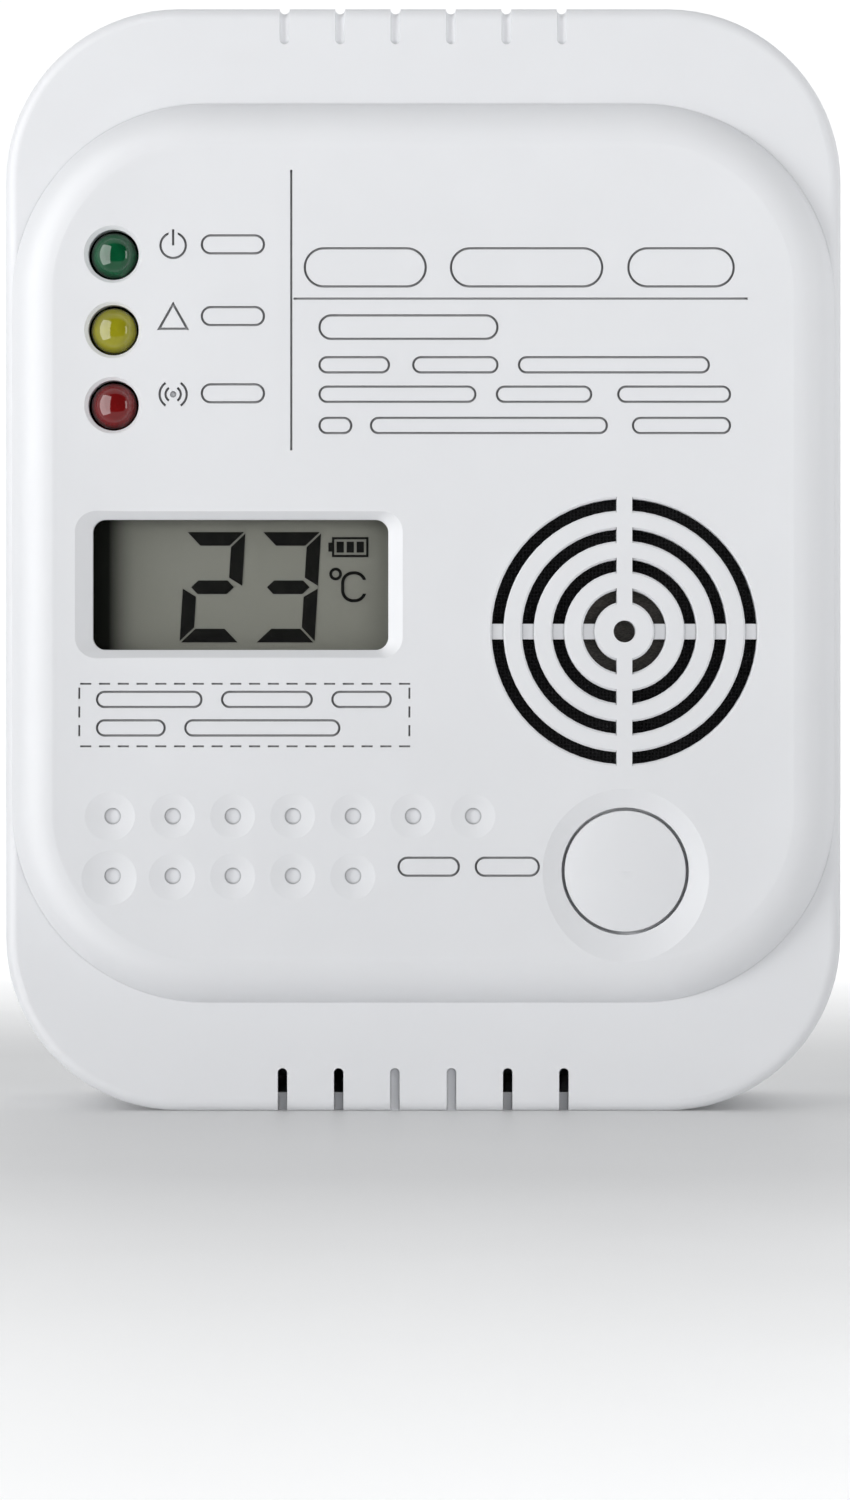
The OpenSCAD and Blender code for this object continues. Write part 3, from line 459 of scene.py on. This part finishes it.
def dress_power():
    """The cells with their springs and contacts, the leads and the screws."""
    nickel = metal("spring_nickel", (0.7, 0.69, 0.66), rough=0.22)
    dress(nickel, "battery_springs", "battery_contacts")
    dress(metal("screw_zinc", (0.62, 0.64, 0.66), rough=0.34), "case_screws", "board_screws")
    red = moulded("insulation_red", (0.42, 0.012, 0.01), rough=0.36, cloud=0.85).material
    dress(red, "battery_lead_red", "piezo_leads")
    black_wire = moulded("insulation_black", (0.01, 0.01, 0.01), rough=0.36, cloud=0.7).material
    dress(black_wire, "battery_lead_black")
    for name, way in (("battery_upper", 1), ("battery_middle", -1), ("battery_lower", 1)):
        dress(cell_sleeve(name, way), name)


# ---------- set ----------

def in_scene(obj):
    """Puts an object in the scene and gives it back."""
    bpy.context.scene.collection.objects.link(obj)
    return obj


def sheet_object(name, width, depth):
    """A flat rectangle in its own x and y, as part of the set."""
    x, y = width / 2, depth / 2
    mesh = bpy.data.meshes.new(name)
    mesh.from_pydata([(-x, -y, 0), (x, -y, 0), (x, y, 0), (-x, y, 0)], [], [(0, 1, 2, 3)])
    obj = in_scene(bpy.data.objects.new(name, mesh))
    return obj


def aim(obj, at, towards):
    """Stands an object at a point, with its -Z axis towards another."""
    obj.location = at
    obj.rotation_euler = (Vector(towards) - Vector(at)).to_track_quat("-Z", "Y").to_euler()


def panel(name, at, width, height, power, diffuse=True, glossy=True):
    """A rectangular light aimed at the middle of the object. diffuse and glossy say whether it lights
    surfaces and whether gloss shows it."""
    data = bpy.data.lights.new(name, "AREA")
    data.shape = "RECTANGLE"
    data.size, data.size_y, data.energy = width, height, power
    lamp = in_scene(bpy.data.objects.new(name, data))
    lamp.visible_diffuse = diffuse
    lamp.visible_glossy = glossy
    aim(lamp, at, MIDDLE)


def flag():
    """A black card in front of the object that only its gloss sees, as round a studio camera."""
    card = sheet_object("flag", 2.4, 1.8)
    aim(card, (0.1, -0.8, 0.3), MIDDLE)
    g = Graph("flag_black")
    g.look(Base_Color=g.mix(g.noise(0.1), (0.01, 0.01, 0.01), (0.02, 0.02, 0.02)),
           Roughness=g.span(g.noise(0.05), 0.85, 0.95), Specular_IOR_Level=0.0)
    card.data.materials.append(g.material)
    card.visible_camera = card.visible_diffuse = card.visible_transmission = False
    card.visible_shadow = False


def floor():
    """A pale floor that fades into the white backdrop. Gloss doesn't see it, which keeps its horizon
    out of the lamps."""
    obj = sheet_object("floor", 6, 6)
    g = Graph("floor_pale")
    far = g.span(g.length(g.place), 0, 1, 0.1, 0.42)
    pale = g.mix(g.span(g.noise(0.2), 0, 1), (0.80, 0.80, 0.80), (0.82, 0.82, 0.82))
    g.look(Base_Color=g.mix(far, pale, (0, 0, 0)), Emission_Color=BACKDROP_COLOUR,
           Emission_Strength=g.math("MULTIPLY", far, BACKDROP_STRENGTH),
           Roughness=g.span(g.noise(0.05), 0.4, 0.5), Specular_IOR_Level=0.3)
    obj.data.materials.append(g.material)
    obj.visible_glossy = False


def backdrop():
    """A white tent all round the set that only the camera sees."""
    half, foot, height = 2.9, -0.001, 3.0
    ring = [(-half, -half), (half, -half), (half, half), (-half, half)]
    verts = [(x, y, z) for z in (foot, height) for x, y in ring]
    faces = [(i, (i + 1) % 4, 4 + (i + 1) % 4, 4 + i) for i in range(4)] + [(4, 5, 6, 7)]
    mesh = bpy.data.meshes.new("backdrop")
    mesh.from_pydata(verts, [], faces)
    tent = in_scene(bpy.data.objects.new("backdrop", mesh))
    g = Graph("backdrop_white")
    g.look(Base_Color=(0, 0, 0), Emission_Color=BACKDROP_COLOUR,
           Emission_Strength=BACKDROP_STRENGTH,
           Roughness=g.span(g.noise(0.5), 0.9, 1.0), Specular_IOR_Level=0.0)
    mesh.materials.append(g.material)
    tent.visible_diffuse = tent.visible_glossy = tent.visible_transmission = False
    tent.visible_shadow = False


def world():
    """A white studio, dimmer in front of the object than behind it."""
    studio = bpy.data.worlds.new("studio")
    studio.use_nodes = True
    tree = studio.node_tree
    direction = tree.nodes.new("ShaderNodeTexCoord").outputs["Generated"]
    towards_back = tree.nodes.new("ShaderNodeVectorMath")
    towards_back.operation = "DOT_PRODUCT"
    towards_back.inputs[1].default_value = (0, 1, 0)
    ramp = tree.nodes.new("ShaderNodeMapRange")
    ramp.interpolation_type = "SMOOTHSTEP"
    for socket, value in (("From Min", -0.45), ("From Max", 0.5), ("To Min", 0.38), ("To Max", 0.88)):
        ramp.inputs[socket].default_value = value
    tree.links.new(direction, towards_back.inputs[0])
    tree.links.new(towards_back.outputs["Value"], ramp.inputs["Value"])
    tree.links.new(ramp.outputs["Result"], tree.nodes["Background"].inputs["Strength"])
    tree.nodes["Background"].inputs["Color"].default_value = (0.98, 0.99, 1, 1)
    bpy.context.scene.world = studio


def camera():
    """Level and square to the front, with its axis below the middle of the object."""
    distance = 0.55
    view_height = 0.163
    sensor_width = 36
    axis_x, axis_z = 0.2 * MM, 39.5 * MM
    front_y = cad_box[0].y
    data = bpy.data.cameras.new("camera")
    data.sensor_width = sensor_width
    data.lens = sensor_width * distance / view_height
    data.clip_start = 0.01
    obj = bpy.data.objects.new("camera", data)
    obj.location = (axis_x, front_y - distance, axis_z)
    obj.rotation_euler = (math.radians(90), 0, 0)
    bpy.context.scene.camera = in_scene(obj)


def lights():
    """A key from the left and a weak fill from the right, which gloss doesn't show, and two panels
    that only gloss shows."""
    panel("key", (-1.4, -0.9, 0.2), 0.7, 0.35, 11, glossy=False)
    panel("fill", (0.38, -0.7, 0.13), 0.5, 0.22, 1.45, glossy=False)
    panel("softbox", (-0.5, -0.45, 0.12), 0.7, 1.3, 8, diffuse=False)
    panel("strip", (0.6, -0.3, 0.15), 0.12, 0.4, 0.3, diffuse=False)


dress_case()
dress_face()
dress_board()
dress_power()
camera()
floor()
backdrop()
world()
flag()
lights()
bpy.context.scene.view_settings.view_transform = "Standard"
